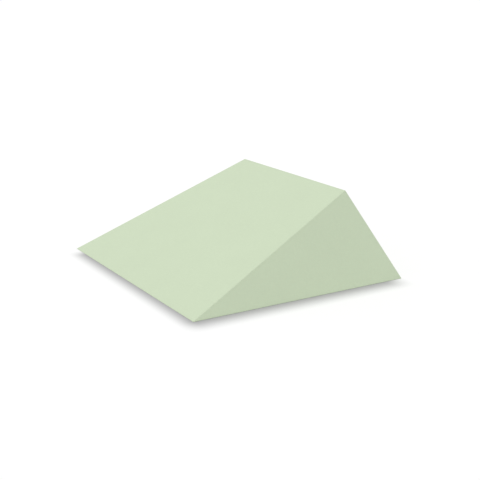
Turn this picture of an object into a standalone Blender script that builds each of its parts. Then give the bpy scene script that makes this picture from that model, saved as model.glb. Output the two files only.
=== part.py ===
"""A foam wedge in a sewn cover, with a zip across its back.

Metres, +Z up. The wedge rests on z = 0 with its origin under the middle of its
base. The thin front edge faces -Y, the slope rises towards +Y, and the ridge is
shorter than the front edge because the back and both ends lean inwards.
"""

from math import cos, pi, sin

import bmesh
import bpy
from mathutils import Matrix, Vector
from mathutils.geometry import intersect_plane_plane

# The wedge, measured outside the cover
LENGTH = 0.600
DEPTH = 0.531
HEIGHT = 0.196
RIDGE_SETBACK = 0.434
END_LEAN = 0.0886

# Layers, from the outside inwards
GAP = 0.0003
COVER_THICK = 0.0012
LINER_THICK = 0.0008
COMFORT_THICK = 0.025
BACK_SLACK = 0.0028
LINER_SLIT_LENGTH = 0.420
LINER_SLIT_HEIGHT = 0.016

# The zip, in its own frame: x along the chain, y up the back, z out of the cover
ZIP_ABOVE_BASE = 0.036
CHAIN_LENGTH = 0.500
SLOT_WIDTH = 0.010
TAPE_THICK = 0.0006
TAPE_WIDTH = 0.0132
TAPE_TAIL = 0.022
COIL_SPLIT = 0.0016
COIL_WIDTH = 0.0023
COIL_HEIGHT = 0.0020
COIL_ROUNDING = 0.0007
STOP_LENGTH = 0.003
STOP_HEIGHT = 0.0025
STOP_ROUNDING = 0.0004

# The slider and its pull tab
SLIDER_LENGTH = 0.011
SLIDER_NOSE_WIDTH = 0.0090
SLIDER_TAIL_WIDTH = 0.0080
NOSE_ROUND = SLIDER_NOSE_WIDTH / 4
NOSE_STEPS = 8
PLATE_THICK = 0.0010
TOP_PLATE_Z = 0.0011
BOTTOM_PLATE_Z = -0.0034
POST_WIDTH = 0.0008
POST_SPAN = (0.3, 0.8)
FLANGE_INNER = 0.0035
FLANGE_INSET = 0.0001
FLANGE_SPAN = (-0.9, 0.4)
ARCH_LENGTH = 0.0066
ARCH_WIDTH = 0.0018
ARCH_WALL = 0.0009
ARCH_ROOM = 0.0019
ARCH_ROUNDING = 0.0006
PULL_LENGTH = 0.026
PULL_THICK = 0.0012
PULL_HEAD_WIDTH = 0.0050
PULL_TAIL_WIDTH = 0.0066
PULL_HEAD_REACH = 0.0005
PULL_NECK = 0.002
PULL_TAIL_STEPS = 12
BAR_INSET = 0.0002
BAR_SIDES = 16
EYE_REACH = 0.0044
EYE_WIDTH = 0.0026
PIVOT_Z = TOP_PLATE_Z + PLATE_THICK + ARCH_ROOM / 2

# The blank label on the back
LABEL_LENGTH = 0.045
LABEL_HEIGHT = 0.028
LABEL_THICK = 0.0005
LABEL_X = -0.205
LABEL_ABOVE_ZIP = 0.036

# Working sizes: how far a cutter runs past what it cuts, the starting block, and the merge distance
OVERSHOOT = 0.002
BLOCK_SIZE = 1.5
SNAP = 1e-6

TAPE_TOP_Z = -COVER_THICK - GAP
COIL_BOTTOM_Z = TAPE_TOP_Z + GAP
CHAIN_END = CHAIN_LENGTH / 2
SLIDER_REST_X = CHAIN_END - GAP - SLIDER_LENGTH / 2

SAGE = (0.608, 0.708, 0.516)
DARK_SAGE = (0.250, 0.320, 0.205)
FOAM_GREY = (0.560, 0.560, 0.540)
FOAM_CREAM = (0.830, 0.780, 0.620)
LINER_WHITE = (0.800, 0.800, 0.780)
ZIP_SAGE = (0.480, 0.590, 0.400)
NICKEL = (0.620, 0.610, 0.590)
LABEL_WHITE = (0.850, 0.850, 0.830)


# ---------------------------------------------------------------- basics


def clear_scene():
    """Removes every object the file starts with."""
    for leftover in list(bpy.data.objects):
        bpy.data.objects.remove(leftover, do_unlink=True)


def new_collection(name):
    """Adds a collection to the scene."""
    collection = bpy.data.collections.new(name)
    bpy.context.scene.collection.children.link(collection)
    return collection


def finish(name, colour, roughness, metallic=0.0):
    """A plain material with a colour, a roughness and a metallic value."""
    material = bpy.data.materials.new(name)
    material.use_nodes = True
    shader = material.node_tree.nodes["Principled BSDF"]
    shader.inputs["Base Color"].default_value = (*colour, 1.0)
    shader.inputs["Roughness"].default_value = roughness
    shader.inputs["Metallic"].default_value = metallic
    material.diffuse_color = (*colour, 1.0)
    return material


def add_part(name, mesh, material, parent=None):
    """Adds a named sub-part of the wedge."""
    mesh.name = name
    mesh.materials.clear()
    mesh.materials.append(material)
    part = bpy.data.objects.new(name, mesh)
    PARTS.objects.link(part)
    part.parent = parent
    return part


def add_cutter(name, mesh, parent=None):
    """Adds a shape that is only there to cut or join another."""
    cutter = bpy.data.objects.new(name, mesh)
    CUTTERS.objects.link(cutter)
    cutter.parent = parent
    cutter.hide_render = True
    cutter.display_type = "WIRE"
    return cutter


def add_boolean(part, operation, other):
    """Cuts or joins a part with another shape."""
    step = part.modifiers.new(operation.title(), "BOOLEAN")
    step.operation = operation
    step.solver = "EXACT"
    step.object = other


def add_rounding(part, width, segments=2):
    """Rounds a part's sharp edges."""
    rounding = part.modifiers.new("Rounding", "BEVEL")
    rounding.width = width
    rounding.segments = segments
    rounding.limit_method = "ANGLE"


def mesh_from(shape, name="shape"):
    """Turns a bmesh into a mesh."""
    mesh = bpy.data.meshes.new(name)
    shape.to_mesh(mesh)
    shape.free()
    return mesh


def box_mesh(low, high):
    """A box between two corners."""
    low = Vector(low)
    high = Vector(high)
    size = Matrix.Diagonal((*(high - low), 1.0))
    shape = bmesh.new()
    bmesh.ops.create_cube(shape, size=1.0, matrix=Matrix.Translation((low + high) / 2) @ size)
    return mesh_from(shape)


def outline_mesh(points, low_z, high_z):
    """A flat outline given thickness, from low_z to high_z."""
    curve = bpy.data.curves.new("outline", "CURVE")
    curve.dimensions = "2D"
    curve.fill_mode = "BOTH"
    curve.extrude = (high_z - low_z) / 2
    spline = curve.splines.new("POLY")
    spline.points.add(len(points) - 1)
    for point, (x, y) in zip(spline.points, points):
        point.co = (x, y, 0.0, 1.0)
    spline.use_cyclic_u = True
    flat = bpy.data.objects.new("outline", curve)
    CUTTERS.objects.link(flat)
    bpy.context.view_layer.update()
    seen = flat.evaluated_get(bpy.context.evaluated_depsgraph_get())
    mesh = bpy.data.meshes.new_from_object(seen)
    bpy.data.objects.remove(flat, do_unlink=True)
    shape = bmesh.new()
    shape.from_mesh(mesh)
    bmesh.ops.remove_doubles(shape, verts=shape.verts, dist=SNAP)
    bmesh.ops.translate(shape, verts=shape.verts, vec=(0.0, 0.0, (low_z + high_z) / 2))
    bmesh.ops.recalc_face_normals(shape, faces=shape.faces)
    return mesh_from(shape)


# ---------------------------------------------------------------- planes


def plane_through(a, b, c):
    """The plane through three points, as a point on it and its normal."""
    return a, (b - a).cross(c - a).normalized()


def moved(plane, distance):
    """A plane moved along its normal."""
    point, normal = plane
    return point + normal * distance, normal


def turned(plane):
    """The same plane facing the other way."""
    point, normal = plane
    return point, -normal


def wedge_faces():
    """The wedge's five sides as planes that face outwards."""
    front = -DEPTH / 2
    back = DEPTH / 2
    side = LENGTH / 2
    ridge_side = side - END_LEAN
    ridge_y = front + RIDGE_SETBACK
    left_front = Vector((-side, front, 0.0))
    right_front = Vector((side, front, 0.0))
    left_back = Vector((-side, back, 0.0))
    right_back = Vector((side, back, 0.0))
    ridge_left = Vector((-ridge_side, ridge_y, HEIGHT))
    ridge_right = Vector((ridge_side, ridge_y, HEIGHT))
    return {
        "slope": plane_through(left_front, right_front, ridge_right),
        "back": plane_through(right_back, left_back, ridge_left),
        "left": plane_through(left_back, left_front, ridge_left),
        "right": plane_through(right_front, right_back, ridge_right),
        "base": plane_through(left_front, left_back, right_back),
    }


def solid_inside(planes):
    """The solid that lies behind every plane, cut from a block."""
    shape = bmesh.new()
    bmesh.ops.create_cube(shape, size=BLOCK_SIZE)
    for point, normal in planes:
        everything = shape.verts[:] + shape.edges[:] + shape.faces[:]
        bmesh.ops.bisect_plane(
            shape, geom=everything, dist=SNAP, plane_co=point, plane_no=normal, clear_outer=True
        )
        bmesh.ops.holes_fill(shape, edges=shape.edges, sides=0)
    bmesh.ops.recalc_face_normals(shape, faces=shape.faces)
    return mesh_from(shape)


def hull_planes(depth):
    """The wedge's sides moved inwards, with the slack behind the back added."""
    planes = {name: moved(plane, -depth) for name, plane in FACES.items()}
    planes["back"] = moved(planes["back"], -BACK_SLACK)
    return planes


def panel_planes(face):
    """One cover panel: a thin slab, mitred against each neighbour."""
    point, normal = FACES[face]
    planes = [(point, normal), turned(moved((point, normal), -COVER_THICK))]
    for other, (other_point, other_normal) in FACES.items():
        if other == face:
            continue
        edge_point, direction = intersect_plane_plane(point, normal, other_point, other_normal)
        mitre = (edge_point, (other_normal - normal).normalized())
        planes.append(moved(mitre, -GAP / 2))
    return planes


def zip_matrix():
    """The zip's frame: x along the chain, y up the back, z out of the cover."""
    point, out = FACES["back"]
    along = Vector((-1.0, 0.0, 0.0))
    up = out.cross(along)
    base_edge = Vector((0.0, DEPTH / 2, 0.0))
    centre = base_edge + up * ZIP_ABOVE_BASE
    frame = Matrix((along, up, out)).transposed().to_4x4()
    return Matrix.Translation(centre) @ frame


def zip_plane(direction, distance):
    """A plane set in the zip's frame, facing a direction, at a distance from its centre."""
    facing = (ZIP_FRAME.to_3x3() @ Vector(direction)).normalized()
    return ZIP_FRAME.translation + facing * distance, facing


# ---------------------------------------------------------------- filling


def make_foam_core(foam):
    """The firm block under the comfort layer."""
    planes = hull_planes(COVER_THICK + LINER_THICK + 2 * GAP)
    planes["slope"] = moved(planes["slope"], -COMFORT_THICK - GAP)
    add_part("foam_core", solid_inside(planes.values()), foam)


def make_comfort_layer(foam):
    """The softer layer bonded to the core, under the slope."""
    planes = hull_planes(COVER_THICK + LINER_THICK + 2 * GAP)
    underside = turned(moved(planes["slope"], -COMFORT_THICK))
    add_part("comfort_layer", solid_inside([*planes.values(), underside]), foam)


def make_inner_liner(cloth):
    """The thin sock round the foam, with a slit behind the zip."""
    depth = COVER_THICK + GAP
    outside = solid_inside(hull_planes(depth).values())
    inside = solid_inside(hull_planes(depth + LINER_THICK).values())
    liner = add_part("inner_liner", outside, cloth)
    add_boolean(liner, "DIFFERENCE", add_cutter("liner_hollow", inside))
    reach = BACK_SLACK + depth + LINER_THICK + OVERSHOOT
    slit = box_mesh(
        (-LINER_SLIT_LENGTH / 2, -LINER_SLIT_HEIGHT / 2, -reach),
        (LINER_SLIT_LENGTH / 2, LINER_SLIT_HEIGHT / 2, 0.0),
    )
    add_boolean(liner, "DIFFERENCE", add_cutter("liner_slit", slit, ZIP_LINE))


# ---------------------------------------------------------------- cover


def make_whole_panels(cloth, grip_cloth):
    """The four cover panels that the zip doesn't cross."""
    add_part("slope_panel", solid_inside(panel_planes("slope")), cloth)
    add_part("left_end_panel", solid_inside(panel_planes("left")), cloth)
    add_part("right_end_panel", solid_inside(panel_planes("right")), cloth)
    add_part("base_panel", solid_inside(panel_planes("base")), grip_cloth)


def make_back_panels(cloth):
    """The back, in two panels that end at the zip's slot."""
    above = turned(zip_plane((0, 1, 0), SLOT_WIDTH / 2))
    below = turned(zip_plane((0, -1, 0), SLOT_WIDTH / 2))
    add_part("back_panel_upper", solid_inside([*panel_planes("back"), above]), cloth)
    add_part("back_panel_lower", solid_inside([*panel_planes("back"), below]), cloth)


def make_zip_end_tabs(cloth):
    """The tabs that close the slot between each end of the chain and the ends."""
    half = SLOT_WIDTH / 2 - GAP
    between = [zip_plane((0, 1, 0), half), zip_plane((0, -1, 0), half)]
    start = CHAIN_END + STOP_LENGTH + 2 * GAP
    for name, direction in (("zip_end_tab_left", 1), ("zip_end_tab_right", -1)):
        inner_edge = turned(zip_plane((direction, 0, 0), start))
        add_part(name, solid_inside([*panel_planes("back"), *between, inner_edge]), cloth)


def make_care_label(satin):
    """A blank label sewn flat to the back."""
    low_y = LABEL_ABOVE_ZIP - LABEL_HEIGHT / 2
    label = box_mesh(
        (LABEL_X - LABEL_LENGTH / 2, low_y, GAP),
        (LABEL_X + LABEL_LENGTH / 2, low_y + LABEL_HEIGHT, GAP + LABEL_THICK),
    )
    add_part("care_label", label, satin, ZIP_LINE)


# ---------------------------------------------------------------- zip


def across(side, near, far):
    """Orders two distances from the chain's middle, above it or below it."""
    return sorted((side * near, side * far))


def make_zip_halves(tape_cloth, nylon, metal):
    """Each half of the zip: its tape, its coil and the stop at the coil's closed end."""
    reach = CHAIN_END + STOP_LENGTH + TAPE_TAIL
    near = COIL_SPLIT / 2
    for half, side in (("upper", 1), ("lower", -1)):
        low_y, high_y = across(side, near, near + TAPE_WIDTH)
        tape = box_mesh((-reach, low_y, TAPE_TOP_Z - TAPE_THICK), (reach, high_y, TAPE_TOP_Z))
        add_part(f"zip_tape_{half}", tape, tape_cloth, ZIP_LINE)

        low_y, high_y = across(side, near, near + COIL_WIDTH)
        top_z = COIL_BOTTOM_Z + COIL_HEIGHT
        coil = box_mesh(
            (-CHAIN_END + GAP, low_y, COIL_BOTTOM_Z), (CHAIN_END - GAP, high_y, top_z)
        )
        add_rounding(add_part(f"zip_coil_{half}", coil, nylon, ZIP_LINE), COIL_ROUNDING)

        stop = box_mesh(
            (CHAIN_END, low_y, COIL_BOTTOM_Z),
            (CHAIN_END + STOP_LENGTH, high_y, COIL_BOTTOM_Z + STOP_HEIGHT),
        )
        add_rounding(add_part(f"zip_top_stop_{half}", stop, metal, ZIP_LINE), STOP_ROUNDING)


def make_bottom_stop(metal):
    """The clip that holds both coils together at the open end."""
    half = COIL_SPLIT / 2 + COIL_WIDTH
    stop = box_mesh(
        (-CHAIN_END - STOP_LENGTH, -half, COIL_BOTTOM_Z),
        (-CHAIN_END, half, COIL_BOTTOM_Z + STOP_HEIGHT),
    )
    add_rounding(add_part("zip_bottom_stop", stop, metal, ZIP_LINE), STOP_ROUNDING)


def slider_outline():
    """The slider's plates from above: a wide rounded nose that narrows to the tail."""
    nose = SLIDER_LENGTH / 2
    points = [(-nose, -SLIDER_TAIL_WIDTH / 2)]
    for step in range(NOSE_STEPS + 1):
        angle = -pi / 2 + pi * step / NOSE_STEPS
        x = nose - NOSE_ROUND + NOSE_ROUND * cos(angle)
        points.append((x, SLIDER_NOSE_WIDTH / 2 * sin(angle)))
    points.append((-nose, SLIDER_TAIL_WIDTH / 2))
    return points


def slider_pieces():
    """What is joined to the slider's top plate."""
    top = TOP_PLATE_Z + PLATE_THICK
    overlap = PLATE_THICK / 2
    nose = SLIDER_LENGTH / 2
    outline = slider_outline()
    pieces = {
        "bottom_plate": outline_mesh(outline, BOTTOM_PLATE_Z, BOTTOM_PLATE_Z + PLATE_THICK),
        "post": box_mesh(
            (nose * POST_SPAN[0], -POST_WIDTH / 2, BOTTOM_PLATE_Z + overlap),
            (nose * POST_SPAN[1], POST_WIDTH / 2, TOP_PLATE_Z + overlap),
        ),
    }
    for name, side in (("upper_flange", 1), ("lower_flange", -1)):
        low_y, high_y = across(side, FLANGE_INNER, SLIDER_TAIL_WIDTH / 2 - FLANGE_INSET)
        pieces[name] = box_mesh(
            (nose * FLANGE_SPAN[0], low_y, COIL_BOTTOM_Z + FLANGE_INSET),
            (nose * FLANGE_SPAN[1], high_y, TOP_PLATE_Z + overlap),
        )
    pieces["arch"] = box_mesh(
        (-ARCH_LENGTH / 2, -ARCH_WIDTH / 2, top - overlap),
        (ARCH_LENGTH / 2, ARCH_WIDTH / 2, top + ARCH_ROOM + ARCH_WALL),
    )
    return pieces


def make_slider(metal):
    """The slider: two plates held apart by a post, with an arch for the pull tab."""
    top = TOP_PLATE_Z + PLATE_THICK
    plate = outline_mesh(slider_outline(), TOP_PLATE_Z, top)
    slider = add_part("zip_slider", plate, metal, SLIDER_PLACE)
    for name, mesh in slider_pieces().items():
        piece = add_cutter(f"slider_{name}", mesh, SLIDER_PLACE)
        if name == "arch":
            add_rounding(piece, ARCH_ROUNDING)
        add_boolean(slider, "UNION", piece)
    room = ARCH_LENGTH / 2 - ARCH_WALL
    opening = box_mesh((-room, -ARCH_WIDTH, top), (room, ARCH_WIDTH, top + ARCH_ROOM))
    add_boolean(slider, "DIFFERENCE", add_cutter("arch_opening", opening, SLIDER_PLACE))


def pull_outline():
    """The pull tab from above: a narrow head at the pivot, widening to a round tail."""
    head = PULL_HEAD_WIDTH / 2
    tail = PULL_TAIL_WIDTH / 2
    round_x = -PULL_LENGTH + tail
    neck_x = -EYE_REACH - PULL_NECK
    points = [(PULL_HEAD_REACH, -head), (PULL_HEAD_REACH, head), (neck_x, head)]
    for step in range(PULL_TAIL_STEPS + 1):
        angle = pi / 2 + pi * step / PULL_TAIL_STEPS
        points.append((round_x + tail * cos(angle), tail * sin(angle)))
    points.append((neck_x, -head))
    return points


def make_pull_tab(metal):
    """The flat pull tab, with an eye whose bar passes under the slider's arch."""
    half = PULL_THICK / 2
    tab = add_part("zip_pull_tab", outline_mesh(pull_outline(), -half, half), metal, PULL_PIVOT)
    eye = box_mesh(
        (-EYE_REACH, -EYE_WIDTH / 2, -OVERSHOOT), (OVERSHOOT, EYE_WIDTH / 2, OVERSHOOT)
    )
    add_boolean(tab, "DIFFERENCE", add_cutter("pull_eye", eye, PULL_PIVOT))
    bar = bmesh.new()
    bmesh.ops.create_cone(
        bar,
        cap_ends=True,
        segments=BAR_SIDES,
        radius1=half,
        radius2=half,
        depth=PULL_HEAD_WIDTH - 2 * BAR_INSET,
        matrix=Matrix.Rotation(pi / 2, 4, "X"),
    )
    add_boolean(tab, "UNION", add_cutter("pull_bar", mesh_from(bar), PULL_PIVOT))


def add_empty(name, parent, matrix):
    """A named place that parts are set in."""
    empty = bpy.data.objects.new(name, None)
    PARTS.objects.link(empty)
    empty.parent = parent
    empty.matrix_local = matrix
    return empty


clear_scene()
PARTS = new_collection("foam_wedge")
CUTTERS = new_collection("cutters")
FACES = wedge_faces()
ZIP_FRAME = zip_matrix()
ZIP_LINE = add_empty("zip_line", None, ZIP_FRAME)
SLIDER_PLACE = add_empty("slider_place", ZIP_LINE, Matrix.Translation((SLIDER_REST_X, 0, 0)))
PULL_PIVOT = add_empty("pull_pivot", SLIDER_PLACE, Matrix.Translation((0, 0, PIVOT_Z)))

COVER_CLOTH = finish("cover_cloth", SAGE, 0.90)
METAL = finish("nickel", NICKEL, 0.32, 1.0)
make_foam_core(finish("core_foam", FOAM_GREY, 0.95))
make_comfort_layer(finish("comfort_foam", FOAM_CREAM, 0.95))
make_inner_liner(finish("liner_cloth", LINER_WHITE, 0.92))
make_whole_panels(COVER_CLOTH, finish("grip_cloth", DARK_SAGE, 0.85))
make_back_panels(COVER_CLOTH)
make_zip_end_tabs(COVER_CLOTH)
make_care_label(finish("label_satin", LABEL_WHITE, 0.45))
make_zip_halves(finish("zip_tape_cloth", ZIP_SAGE, 0.85), finish("coil_nylon", ZIP_SAGE, 0.40), METAL)
make_bottom_stop(METAL)
make_slider(METAL)
make_pull_tab(METAL)
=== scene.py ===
"""The looks of a foam wedge in a sewn, zipped cover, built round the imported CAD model."""

from math import cos, pi, radians, sin

import bmesh
import bpy
import numpy as np
from mathutils import Matrix, Vector, noise


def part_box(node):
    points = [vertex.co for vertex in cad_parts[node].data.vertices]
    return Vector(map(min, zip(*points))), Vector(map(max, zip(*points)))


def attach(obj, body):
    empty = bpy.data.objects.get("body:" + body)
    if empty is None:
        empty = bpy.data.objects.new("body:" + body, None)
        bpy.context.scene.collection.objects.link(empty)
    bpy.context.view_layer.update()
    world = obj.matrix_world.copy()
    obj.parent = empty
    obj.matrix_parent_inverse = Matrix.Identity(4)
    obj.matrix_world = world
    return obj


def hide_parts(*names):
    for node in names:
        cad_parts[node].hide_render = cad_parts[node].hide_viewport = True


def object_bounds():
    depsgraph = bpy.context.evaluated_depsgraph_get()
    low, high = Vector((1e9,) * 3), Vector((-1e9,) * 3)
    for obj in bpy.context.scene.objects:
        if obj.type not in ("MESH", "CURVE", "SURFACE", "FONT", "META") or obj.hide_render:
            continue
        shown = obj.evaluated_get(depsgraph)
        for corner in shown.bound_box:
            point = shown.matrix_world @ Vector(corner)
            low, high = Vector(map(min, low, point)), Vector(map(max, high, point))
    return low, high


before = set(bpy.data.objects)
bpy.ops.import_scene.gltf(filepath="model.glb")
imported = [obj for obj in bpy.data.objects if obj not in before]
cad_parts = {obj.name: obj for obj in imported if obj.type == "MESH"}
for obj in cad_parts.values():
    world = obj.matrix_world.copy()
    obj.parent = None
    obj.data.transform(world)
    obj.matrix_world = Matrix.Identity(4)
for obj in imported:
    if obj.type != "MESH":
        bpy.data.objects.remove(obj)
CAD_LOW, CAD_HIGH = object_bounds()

# Camera, in metres and degrees, with its lens in millimetres
CAMERA_AIM = Vector((0.02043, 0.01247, 0.05872))
CAMERA_DISTANCE = 2.2553
CAMERA_AZIMUTH = 58.64
CAMERA_ELEVATION = 15.87
CAMERA_LENS = 72.68

# Light and floor
WORLD_LIGHT = 0.655
KEY_STRENGTH = 1.31
KEY_SOFTNESS = 40.0
KEY_FROM = Vector((-0.090, -0.144, 0.985))
FLOOR_SIZE = 60.0
FLOOR_DROP = 0.0002
FLOOR_WHITE = 0.95
# How dark, how far past the low and high sides in x and y, and how soft there
FRONT_SHADE = {
    "depth": 0.60,
    "past_low": (-0.0414, 0.0169),
    "past_high": (0.0266, -0.0216),
    "soft_low": (0.0242, 0.0250),
    "soft_high": (0.0358, 0.0317),
}
BACK_SHADE = {
    "depth": 0.45,
    "past_low": (0.0100, -0.1300),
    "past_high": (-0.1300, 0.0100),
    "soft_low": (0.0260, 0.0900),
    "soft_high": (0.0900, 0.0220),
}

# Cover
CELL = 0.0050
SEAM_STEPS = (0.0003, 0.0008, 0.0018, 0.0034)
CROWN = 0.0008
NARROW_CROWN = 0.0003
CROWN_REACH = 0.040
CROWN_POWER = 1.5
SEAM_CLOSE = 0.00012
SEAM_DROP = 0.00022
FOLD_DROP = 0.00045
SEAM_EASE = 0.0011
# How far the painted shade in a seam groove reaches
SEAM_SHADE_REACH = 0.003
PUCKER = 0.00010
ZIP_PUCKER = 0.00035
PUCKER_START = 0.0040
PUCKER_REACH = 0.012
SEAM_SHIFT = 2.1
# Share, wavelength and shift of each wave
RIPPLES = ((0.55, 0.0190, 1.0), (0.30, 0.0117, 2.3), (0.15, 0.0430, 3.7))
THREAD_PITCH = 0.00065
SMALLEST_CUT = 0.0100
LEAST_LEAN = 0.01

# Underside
GRIP_HEIGHT = 0.0006
GRIP_ROOT = 0.0001
GRIP_RADIUS = 0.0014
GRIP_SIDES = 6
GRIP_TOP = 0.80
GRIP_SHOULDER = 0.60
GRIP_PITCH = 0.0130
GRIP_ROW = 0.866
GRIP_MARGIN = 0.014
LIFT_REACH = 0.0060

# Filling
CUT_EDGE = 0.0012
FOAM_CELL = 0.020
FOAM_WEAR = 0.00015
FOAM_WEAR_SCALE = 90.0
LINER_THICK = 0.0007
LINER_CELL = 0.018
SLIT_HALF = 0.0075
SLIT_NEAR = 0.0085

# Zip
COIL_PITCH = 0.0015
COIL_WIRE = 0.00060
COIL_POINTS = 10
COIL_SIDES = 5
COIL_INNER = -0.00035
CORD_RADIUS = 0.00045
CORD_POINTS = 60
CORD_SIDES = 8
CORD_OUTWARD = 1.25
RIB_HEIGHT = 0.00006
RIB_PITCH = 0.0022

# Slider and pull tab
CAST_ROUND = 0.00030
TRIM_ROUND = 0.0001
SLIDER_PLATE = 0.0010
SLIDER_CORNER = 0.0007
NOSE_STEPS = 20
# Of the plate's length, nose width and tail width
PAD_SHARE = np.array([0.86, 0.80, 0.76])
PAD_HALF = 0.00016
PAD_ROUND = 0.00014
SKIRT_DROP = 0.0027
SKIRT_SPAN = np.array([-0.9, 0.4])
SKIRT_HALF = 0.00020
SKIRT_CORNER = 0.00015
SKIRT_INSET = 0.00035
DIVIDER_SPAN = np.array([0.3, 0.8])
DIVIDER_HALVES = (0.0003, 0.0004)
DIVIDER_CORNER = 0.0002
BRIDGE_RISE = 0.0028
BRIDGE_LENGTH = 0.0066
BRIDGE_HALF_WIDTH = 0.0009
BRIDGE_THICK = 0.0009
BRIDGE_BEND = 0.0007
BRIDGE_SIDES = 16
BRIDGE_SQUARENESS = 0.6
PULL_ROUND = 0.00035
PULL_CORNER = 0.0006
PULL_HEAD_HALF = 0.0025
PULL_NECK = 0.0064
PULL_WAIST = 0.004
PULL_FLARE = 0.0001
PULL_TAIL_STEPS = 24
PULL_EYE = 0.0044
PULL_EYE_HALF = 0.0013
RECESS_DEPTH = 0.0002
RECESS_HALF = 0.0004
# At the tail's end, at the neck, and from their sides
RECESS_INSET = (0.0018, -0.0016, -0.0011, -0.0007)
RECESS_CORNER = 0.0012
STOP_ROUND = 0.00010

# Stitching and label
STITCH_LENGTH = 0.0028
STITCH_PITCH = 0.0037
STITCH_RADIUS = 0.00024
STITCH_SIDES = 6
# Share of a stitch's length, and height there in thread radii
STITCH_RISE = (
    (0.0, -1.4), (0.06, 0.1), (0.25, 0.75), (0.5, 0.9), (0.75, 0.75), (0.94, 0.1), (1.0, -1.4)
)
STITCH_FROM_EDGE = 0.0026
STITCH_PAST_CHAIN = 0.018
TACK_PAST_CHAIN = 0.0075
TACK_STITCHES = 22
TACK_HALF = 0.0013
TACK_LEAN = 0.0002
TACK_RADIUS = 0.00020
LABEL_LATTICE = (0.045, 0.028)
LABEL_CURL = 0.0003
LABEL_CURL_POWER = 6
LABEL_RIPPLE = 0.00008
LABEL_WAVES = (0.011, 0.017)
LABEL_INSET = 0.0022
LABEL_STITCH_LENGTH = 0.0019
LABEL_STITCH_PITCH = 0.0026

# Mesh clean-up, in metres and degrees
WELD = 1e-6
NEAR = 1e-5
FLAT_ANGLE = 2.0
SHARP_ANGLE = 35.0
CAST_SHARP_ANGLE = 32.0
EDGE_ANGLE = 40.0

# Looks: where most of a noise's values lie, and colours
NOISE_SPAN = (0.3, 0.7)
SAGE = (0.608, 0.708, 0.516)
SAGE_THREAD = (0.560, 0.672, 0.470)
DARK_SAGE = (0.250, 0.320, 0.205)
RUBBER_SAGE = (0.180, 0.235, 0.150)
ZIP_SAGE = (0.480, 0.590, 0.400)
FOAM_GREY = (0.560, 0.560, 0.540)
FOAM_CREAM = (0.830, 0.780, 0.620)
LINER_WHITE = (0.800, 0.800, 0.780)
LABEL_WHITE = (0.850, 0.850, 0.830)
NICKEL = (0.620, 0.610, 0.590)


# -------- camera, light and floor


def placed(name, data):
    """A new object in the scene, from its data."""
    thing = bpy.data.objects.new(name, data)
    bpy.context.scene.collection.objects.link(thing)
    return thing


def make_camera():
    """The camera, looking at the wedge from its front right corner."""
    data = bpy.data.cameras.new("camera")
    data.lens = CAMERA_LENS
    data.sensor_width = 36.0
    data.clip_start = 0.005
    data.clip_end = 200.0
    camera = placed("camera", data)
    turn, rise = radians(CAMERA_AZIMUTH), radians(CAMERA_ELEVATION)
    back = Vector((sin(turn) * cos(rise), -cos(turn) * cos(rise), sin(rise)))
    camera.location = CAMERA_AIM + back * CAMERA_DISTANCE
    camera.rotation_mode = "QUATERNION"
    camera.rotation_quaternion = (-back).to_track_quat("-Z", "Y")
    bpy.context.scene.camera = camera


def make_light():
    """An even white surround and one wide soft light from above."""
    bpy.context.scene.view_settings.view_transform = "Standard"
    world = bpy.data.worlds.new("studio")
    world.use_nodes = True
    bpy.context.scene.world = world
    nodes = world.node_tree.nodes
    links = world.node_tree.links
    backdrop = nodes.new("ShaderNodeBackground")
    path = nodes.new("ShaderNodeLightPath")
    mix = nodes.new("ShaderNodeMixShader")
    links.new(path.outputs["Is Camera Ray"], mix.inputs["Fac"])
    for slot, glow, strength in ((1, nodes["Background"], WORLD_LIGHT), (2, backdrop, 1.0)):
        glow.inputs["Color"].default_value = (1, 1, 1, 1)
        glow.inputs["Strength"].default_value = strength
        links.new(glow.outputs["Background"], mix.inputs[slot])
    links.new(mix.outputs["Shader"], nodes["World Output"].inputs["Surface"])

    sun = bpy.data.lights.new("key", "SUN")
    sun.energy = KEY_STRENGTH
    sun.angle = radians(KEY_SOFTNESS)
    lamp = placed("key", sun)
    lamp.rotation_mode = "QUATERNION"
    lamp.rotation_quaternion = KEY_FROM.normalized().to_track_quat("Z", "Y")


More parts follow.
